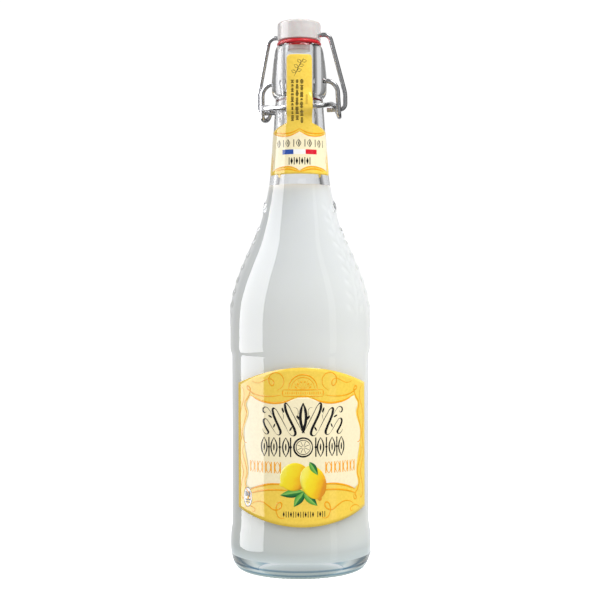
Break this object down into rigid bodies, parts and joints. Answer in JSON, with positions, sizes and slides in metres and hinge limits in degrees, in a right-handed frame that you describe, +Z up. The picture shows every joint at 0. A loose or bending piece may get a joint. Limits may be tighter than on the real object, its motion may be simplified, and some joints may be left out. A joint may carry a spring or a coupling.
{
  "type": "swing top bottle",
  "caption": "Clear glass bottle with a long neck, paper labels and a swing top closure: a wire lever and bail that press a stopper and its rubber gasket onto the mouth.",
  "frame": {"origin": "middle of the ring that the bottle stands on", "axes": "+Z up along the bottle's axis, X along the closure's hinge lines, -Y towards the lever's handle"},
  "size_m": [0.081, 0.081, 0.3149],
  "materials": {
    "clear_glass": "clear polished glass",
    "label_paper": null,
    "strip_paper": null,
    "steel_wire": "bright polished steel wire",
    "white_plastic": "glossy off-white plastic",
    "red_rubber": "smooth soft red rubber"
  },
  "bodies": {
    "bottle": {"bottle": "clear_glass", "front_label": "label_paper", "neck_label": "label_paper", "seal_strip": "strip_paper"},
    "lever": {"lever": "steel_wire"},
    "bail": {"bail": "steel_wire"},
    "stopper": {"stopper": "white_plastic", "gasket": "red_rubber"}
  },
  "joints": [
    {"name": "lever_pivot", "type": "hinge", "parent": "bottle", "child": "lever", "pos_m": [0, 0, 0.2801], "axis": [-1, 0, 0], "range_deg": [0, 90], "deforming": ["gasket", "seal_strip"]},
    {"name": "bail_pivot", "type": "hinge", "parent": "lever", "child": "bail", "pos_m": [0, 0.0045, 0.264], "axis": [-1, 0, 0], "range_deg": [-54, 0]},
    {"name": "stopper_pivot", "type": "hinge", "parent": "bail", "child": "stopper", "pos_m": [0, 0, 0.3068], "axis": [-1, 0, 0], "range_deg": [-18, 0]}
  ],
  "couplings": [
    {"joint": "bail_pivot", "follows": "lever_pivot", "ratio": -0.6},
    {"joint": "stopper_pivot", "follows": "lever_pivot", "ratio": -0.2}
  ]
}
